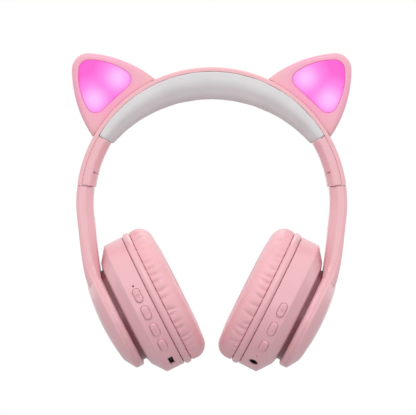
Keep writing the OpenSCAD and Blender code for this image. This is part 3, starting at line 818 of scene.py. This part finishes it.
def tray_ring(part, half):
    bevel = min(4.2, 0.55 * part)
    c = 0.07
    edge = part - 0.03
    side_points = [bevel + 1.5 + (edge - c - bevel - 1.5) * i / 4 for i in range(5)]
    corners = [(0, 3 - half), (bevel, -half)] + [(v, -half) for v in side_points] + [(edge, c - half)]
    corners += [(v, -y) for v, y in reversed(corners)]
    radii = [1.2, 1.4] + [0] * (len(corners) - 4) + [1.4, 1.2]
    return round_section(corners, radii, 6)


def lid_ring(part, full, half):
    c = 0.07
    e = min(1.8, 0.38 * (full - part))
    top = min(11.2, half - 0.8)
    corners = [(part, c - half), (part + c, -half), (part + e, -half), (full, -top),
               (full, top), (part + e, half), (part + c, half), (part, half - c)]
    return round_section(corners, [0, 0, 0.7, 1.0, 1.0, 0.7, 0, 0], 6)


def strap(name, side, ring_of):
    """A loft down all the rows, its upper end drawn in to a small lip."""
    rows = strap_stations()
    rings = []
    a, d, full, part, half = rows[0]
    first = [tuple(p) for p in ring_of(part, full, half)]
    lip = min(1.0, 0.3 * (max(p[0] for p in first) - min(p[0] for p in first)))
    rings.append(place_ring(side, a, d, shrunk(first, lip), -0.24))
    rings.append(place_ring(side, a, d, shrunk(first, lip), 0.3))
    rings.append(place_ring(side, a, d, shrunk(first, 0.4), 0.0, 0.3))
    rings.append(place_ring(side, a, d, shrunk(first, 0.1), 0.1, 0.3))
    rings.append(place_ring(side, a, d, first, 0.4, 0.25))
    for a, d, full, part, half in rows[1:]:
        rings.append(place_ring(side, a, d, ring_of(part, full, half)))
    return loft(name, rings, sharp=35)


def make_arm(word, side):
    tray = strap("tray_" + word, side, lambda part, full, half: tray_ring(part, half))
    rim = arc2((29.2, -22.4), 1.8, 90, 0, 8)
    back = [(DISC_R, -24.1), (30.93, -24.17), (12.6, -24.17), (12.6, -29.5), (0, -29.5)]
    tray = united("tray_" + word, [tray, revolve_solid(side, [(0, -20.6)] + rim + back)], 35)
    pocket = [(0, -15), (29, -15), (29, -23.2), (11.2, -23.2), (11.2, -28.4), (0, -28.4)]
    cut(tray, [
        revolve_solid(side, pocket),
        world_box(side, (70.85, 72.65), (-5.15, 5.15), (-86.1, -40)),
        world_box(side, (68.7, 74.3), (-5.95, 5.95), (-52.25, -40)),
    ], 35)
    lugs = []
    for s in (-1, 1):
        shape = arc2((0, -24.6), 2.9, 0, 180, 16) + [Vector((-2.9, -28.7)), Vector((2.9, -28.7))]
        lugs.append(loft("lug", [[cup_point(side, u * MM, x * MM, y * MM) for x, u in shape]
                                 for y in (s * 6.2, s * 9.2)], sharp=35))
    tray = join("tray_" + word, [tray] + lugs)
    finish_piece(tray, "arm_" + word, "pink_arm", "arm_inner_" + word)

    lid = strap("lid_" + word, side, lid_ring)
    hollow = [(0, -21.3), (27.05, -21.3), (27.05, -25.55), (21.5, -29.05), (0, -30.85)]
    cut(lid, [revolve_solid(side, hollow)], 35)
    dome = [(23.8 * (1 - i / 8), -32.9 + 2.4 * (1 - i / 8) ** 2) for i in range(0, 9)]
    inside = [(0, -30.8), (21.4, -29), (26.9, -25.5), (26.9, DISC_PART)]
    edge = round_section(inside + [(30.93, DISC_PART), (DISC_R, -24.27), (DISC_R, -26.0)] + dome,
                         [0, 0, 0, 0, 0, 0, 1.2, 2.0] + [0] * (len(dome) - 1), 6)
    lid = united("lid_" + word, [lid, revolve_solid(side, edge)], 35)
    finish_piece(lid, "arm_" + word, "pink_arm", "arm_outer_" + word)


# End covers: an arch segment with bevelled inner edges
def cover_ring(side, angle, inset):
    half = 12.5 - inset
    low, mid, top = 67.75 + inset, 71.0, 75.77
    section = [(low, 4 - half), (mid, -half), (top, -half), (top, half), (mid, half), (low, half - 4)]
    outline = round_section(section, [1.2, 1.1, 0.15, 0.15, 1.1, 1.2], 6)
    return [arch_point(side, r * MM, angle, y * MM) for r, y in outline]


def make_cover(word, side):
    ends = [(7.8, 0.4), (7.87, 0.12), (8.05, 0.0), (8.45, 0.0)]
    rings = [cover_ring(side, a, inset) for a, inset in ends]
    rings += [cover_ring(side, 8.45 + (30.0 - 8.45) * i / 26, 0) for i in range(1, 26)]
    rings += [cover_ring(side, a, inset) for a, inset in ((30.0, 0.0), (30.35, 0.08), (30.55, 0.35))]
    cover = loft("cover_" + word, rings, sharp=35)
    slot = []
    for angle in (6.5, 9, 11, 13, 14.3):
        corners = ((66, -5.9), (76.8, -5.9), (76.8, 5.9), (66, 5.9))
        slot.append([arch_point(side, r * MM, angle, y * MM) for r, y in corners])
    tools = [loft("slot", slot)]
    for y0, y1 in ((-14, -8.6), (8.6, 14)):
        corners = ((66, y0), (70.6, y0), (70.6, y1), (66, y1))
        ends = [[arch_point(side, r * MM, angle, y * MM) for r, y in corners] for angle in (14.0, 14.75)]
        tools.append(loft("slit", ends))
    cut(cover, tools, 35)
    finish_piece(cover, "headband", "pink_plastic", "end_cover_" + word)


# Ears: two shells round a lens, every loop sampled from one centre
EAR_ANGLE = 47.2
EAR_CENTRE = Vector((92.0, 0.0))
EAR_BASE = 78.33
EAR_STEPS = 288


def ear_outline(inset):
    """Two arcs from the band to a round tip, closed along the band."""
    side_r, sx, sy, tip = 69.8, 64.4, 44.4, 114.6
    reach = tip - sx
    tip_r = (side_r**2 - sy**2 - reach**2) / (2 * (side_r - reach))
    lean = math.degrees(math.atan2(sy, reach - tip_r))
    base = EAR_BASE + min(0.3 * inset, 0.2)
    half = []
    for i in range(61):
        a = 90 - 1 + (lean - 89) * i / 60
        p = arc2((sx, -sy), side_r - inset, a, a, 1)[0]
        if p.length >= base:
            half.append(p)
    first = arc2((sx, -sy), side_r - inset, 89, 89, 1)[0]
    if first.length < base:
        for i in range(400):
            a = 89 - i * 0.05
            p = arc2((sx, -sy), side_r - inset, a, a, 1)[0]
            if p.length >= base:
                half.insert(0, p)
                break
    half += arc2((tip - tip_r, 0), tip_r - inset, lean, 0, 16)[1:]
    whole = half + [Vector((p.x, -p.y)) for p in reversed(half[:-1])]
    a1 = math.degrees(math.atan2(whole[-1].y, whole[-1].x))
    return whole + arc2((0, 0), base, a1, -a1, 24)[1:-1]


def lens_outline(grow):
    """The same kind of outline round the lens, with round corners at its base."""
    side_r, sx, sy, tip, tip_r = 37.83, 80.83, 21.5, 110.4, 5.72
    grow -= 0.05
    lean = math.degrees(math.atan2(sy, tip - tip_r - sx))
    half = arc2((87.7, 10.4), 5.2 + grow, 180, 81, 10) + arc2((sx, -sy), side_r + grow, 78, lean, 20)
    half += arc2((tip - tip_r, 0), tip_r + grow, lean, 0, 10)[1:]
    return half + [Vector((p.x, -p.y)) for p in reversed(half[:-1])]


def star(points):
    """An outline sampled at even angles from the ear's centre."""
    out = []
    n = len(points)
    for k in range(EAR_STEPS):
        a = 2 * math.pi * (k + 0.5) / EAR_STEPS
        d = Vector((math.cos(a), math.sin(a)))
        best = None
        for i in range(n):
            p, q = points[i] - EAR_CENTRE, points[(i + 1) % n] - EAR_CENTRE
            e = q - p
            den = d.x * e.y - d.y * e.x
            if abs(den) < 1e-12:
                continue
            t = (p.x * e.y - p.y * e.x) / den
            s = (p.x * d.y - p.y * d.x) / den
            if -1e-6 <= s <= 1 + 1e-6 and t > 0 and (best is None or t > best):
                best = t
        out.append(EAR_CENTRE + d * best)
    return out


def ear_place(side, p, y):
    """A point of the upright ear, turned to its place on the arch."""
    a = math.radians(EAR_ANGLE)
    x = p.x * math.cos(a) - p.y * math.sin(a)
    z = p.x * math.sin(a) + p.y * math.cos(a)
    return Vector((side * x * MM, y * MM, ARCH_Z + z * MM))


def ear_rings(side, rows, outline):
    """One loop for each (inset, depth) row."""
    cache = {}
    rings = []
    for inset, y in rows:
        if inset not in cache:
            cache[inset] = star(outline(inset))
        rings.append([ear_place(side, p, y) for p in cache[inset]])
    return rings


# insets and depths of the ear's rounded edge
ROUND = [(0.0, 5.4), (0.12, 6.2), (0.45, 6.95), (1.0, 7.5), (1.7, 7.85), (2.6, 8.0)]


def make_ear(word, side):
    outer = [(0.28, -0.02), (0.0, -0.3)] + [(i, -y) for i, y in ROUND]
    rings = ear_rings(side, outer, ear_outline)
    rings += ear_rings(side, [(0.55, -8.0), (0.3, -7.93), (0.15, -7.75), (0.15, -6.2)], lens_outline)
    rings += ear_rings(side, [(1.8, -6.2), (1.8, -0.02)], ear_outline)
    front = loft("ear_front_shell_" + word, rings, closed=True, sharp=35)
    finish_piece(front, "headband", "pink_plastic", "ear_front_" + word)
    front.data.materials[0] = GLOW_SHELL[word]

    rows = [(1.8, 6.2), (1.8, 0.15), (0.28, 0.15), (0.0, 0.43)] + ROUND + [(6.0, 8.0)]
    back = loft("ear_back_shell_" + word, ear_rings(side, rows, ear_outline), sharp=35)
    holes = []
    for s in (-1, 1):
        loop = arc2((84, s * 18.3), 2.3, 0, 345, 23)
        holes.append(loft("hole", [[ear_place(side, p, y) for p in loop] for y in (6.5, 9)]))
    cut(back, holes, 35)
    finish_piece(back, "headband", "pink_plastic", "ear_back_" + word)

    rows = [(0.0, -6.4), (0.0, -8.1), (-0.1, -8.35), (-0.35, -8.55),
            (-0.8, -8.66), (-2.0, -8.72), (-4.0, -8.78)]
    lens = loft("lens_" + word, ear_rings(side, rows, lens_outline), sharp=50)
    finish_piece(lens, "headband", "ear_lens", "ear_lens_" + word)
    lens.data.materials[0] = LIT[word]


def lit_spots(side):
    return [tuple(ear_place(side, Vector((89.8, s * 9.4)), -8.4)) for s in (-1, 1)]


LIT = {word: lit_lens("ear_lens_" + word, lit_spots(side)) for word, side in SIDES.items()}
GLOW_SHELL = {word: lit_shell("ear_shell_" + word, ear_place(side, EAR_CENTRE, -8))
              for word, side in SIDES.items()}


def make_pieces():
    make_pad()
    for word, side in SIDES.items():
        make_cushion("cushion_" + word, side, 5 if side < 0 else 11)
        make_speaker_cloth("speaker_cloth_" + word, side)
        make_arm(word, side)
        make_cover(word, side)
        make_ear(word, side)
    for word, u, buttons in BUTTONS:
        for i, (angle, mark) in enumerate(buttons):
            make_button("cap_%s_%d" % (word, i + 1), SIDES[word], angle, u, mark)


# ---------- camera, light and floor ----------
VIEW_CENTRE = Vector((-2.15 * MM, 0, -62.8 * MM))
VIEW_WIDTH = 241.3 * MM
VIEW_DISTANCE = 2.6
SENSOR = 36.0


def area_light(name, place, target, size, power, colour=(1, 1, 1)):
    data = bpy.data.lights.new(name, "AREA")
    data.shape = "DISK"
    data.size = size
    data.energy = power
    data.color = colour
    lamp = bpy.data.objects.new(name, data)
    bpy.context.scene.collection.objects.link(lamp)
    lamp.location = place
    lamp.rotation_euler = (Vector(target) - Vector(place)).to_track_quat("-Z", "Y").to_euler()


def set_stage():
    scene = bpy.context.scene
    data = bpy.data.cameras.new("camera")
    data.sensor_width = SENSOR
    data.lens = SENSOR * VIEW_DISTANCE / VIEW_WIDTH
    data.clip_end = 20
    camera = bpy.data.objects.new("camera", data)
    scene.collection.objects.link(camera)
    camera.location = VIEW_CENTRE + Vector((0, -VIEW_DISTANCE, 0))
    camera.rotation_euler = (math.radians(90), 0, 0)
    scene.camera = camera
    scene.view_settings.view_transform = "Standard"

    world = bpy.data.worlds.new("studio")
    world.use_nodes = True
    world.node_tree.nodes["Background"].inputs["Color"].default_value = (1, 1, 1, 1)
    world.node_tree.nodes["Background"].inputs["Strength"].default_value = 1.0
    scene.world = world

    centre = (0, 0, -0.07)
    area_light("key", (0, -1.1, 1.1), centre, 0.9, 4.4)
    area_light("fill", (0, -1.7, 0.1), centre, 0.9, 1.6)
    area_light("rim", (0, 0.9, 0.8), centre, 0.6, 1.0)

    bpy.ops.mesh.primitive_circle_add(vertices=96, radius=1.3, fill_type="NGON", location=(0, 0, -0.26))
    floor = bpy.context.object
    floor.name = "floor"
    mat, tree, shader = new_material("floor_paper")
    vary_colour(tree, shader, (0.47, 0.47, 0.48), (0.5, 0.5, 0.51), 4.0)
    vary_roughness(tree, shader, 0.85, 0.95, 20.0)
    floor.data.materials.append(mat)


set_stage()
paint_frame()
make_pieces()
